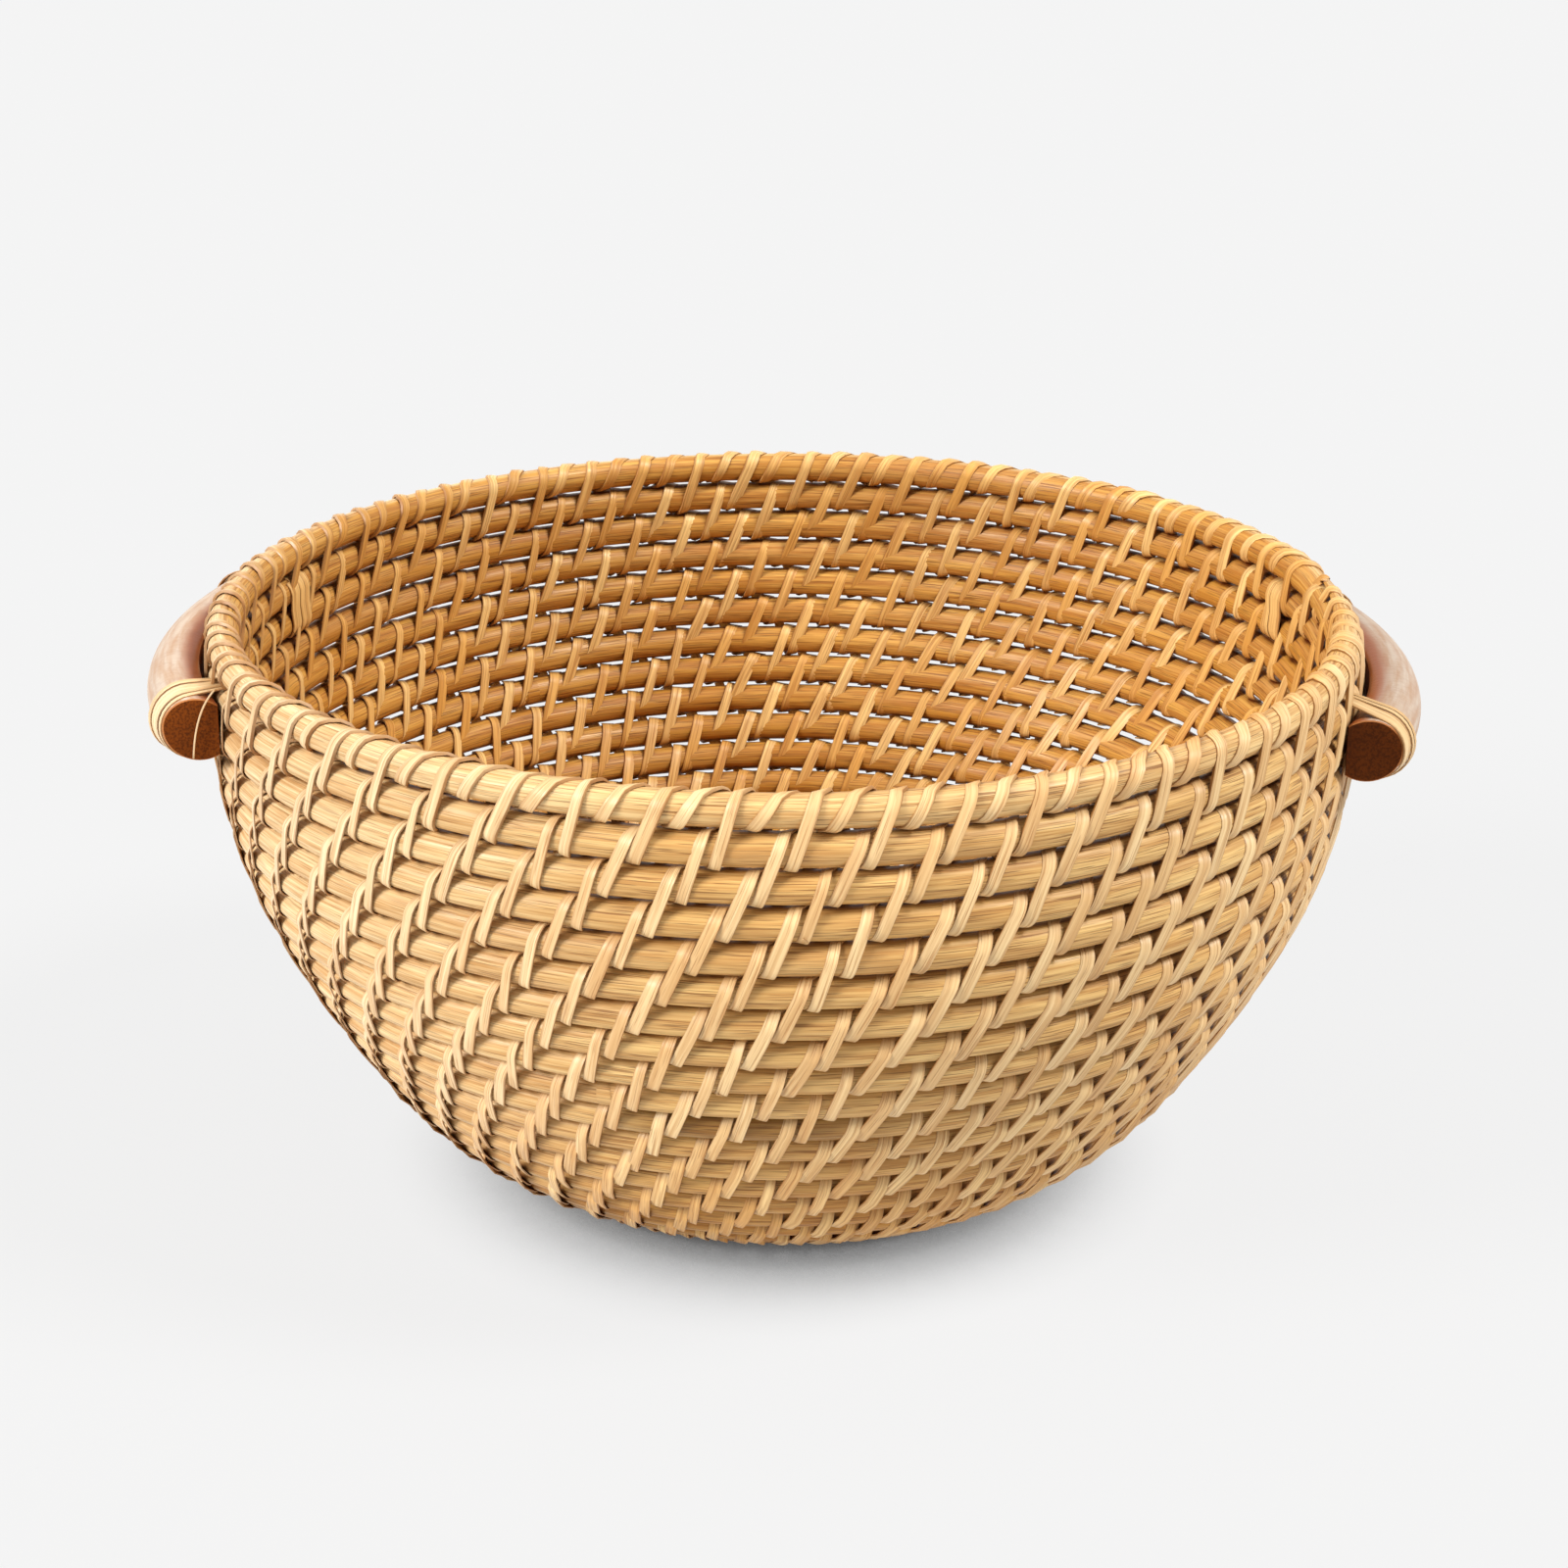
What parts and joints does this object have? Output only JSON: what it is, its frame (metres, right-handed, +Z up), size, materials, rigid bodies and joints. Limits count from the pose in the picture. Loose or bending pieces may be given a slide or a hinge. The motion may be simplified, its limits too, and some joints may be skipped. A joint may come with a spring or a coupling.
{
  "type": "rattan bowl",
  "caption": "Deep round coiled rattan bowl with a level bound rim, a flat base and a bowed pole handle tied on at each side, for serving or storage.",
  "frame": {"origin": "middle of the bowl's footprint, on the plane the base stands on", "axes": "+Z up out of the bowl's mouth, +X through the right handle, -Y towards the viewer"},
  "size_m": [0.3938, 0.3586, 0.1867],
  "materials": {
    "rattan_core": "natural rattan core, satin, fine lengthwise fibres",
    "rattan_pole": "rattan pole with its bark on, soft gloss, sawn faces dark brown",
    "rattan_peel": "split rattan peel, soft gloss"
  },
  "bodies": {
    "root": {"core_rod_1": "rattan_core", "core_rod_2": "rattan_core", "core_rod_3": "rattan_core", "core_rod_4": "rattan_core", "core_rod_5": "rattan_core", "core_rod_6": "rattan_core", "core_rod_7": "rattan_core", "core_rod_8": "rattan_core", "core_rod_9": "rattan_core", "core_rod_10": "rattan_core", "core_rod_11": "rattan_core", "core_rod_12": "rattan_core", "handle_right": "rattan_pole", "lashing_right_front": "rattan_peel", "lashing_right_back": "rattan_peel", "handle_left": "rattan_pole", "lashing_left_front": "rattan_peel", "lashing_left_back": "rattan_peel"}
  },
  "joints": []
}
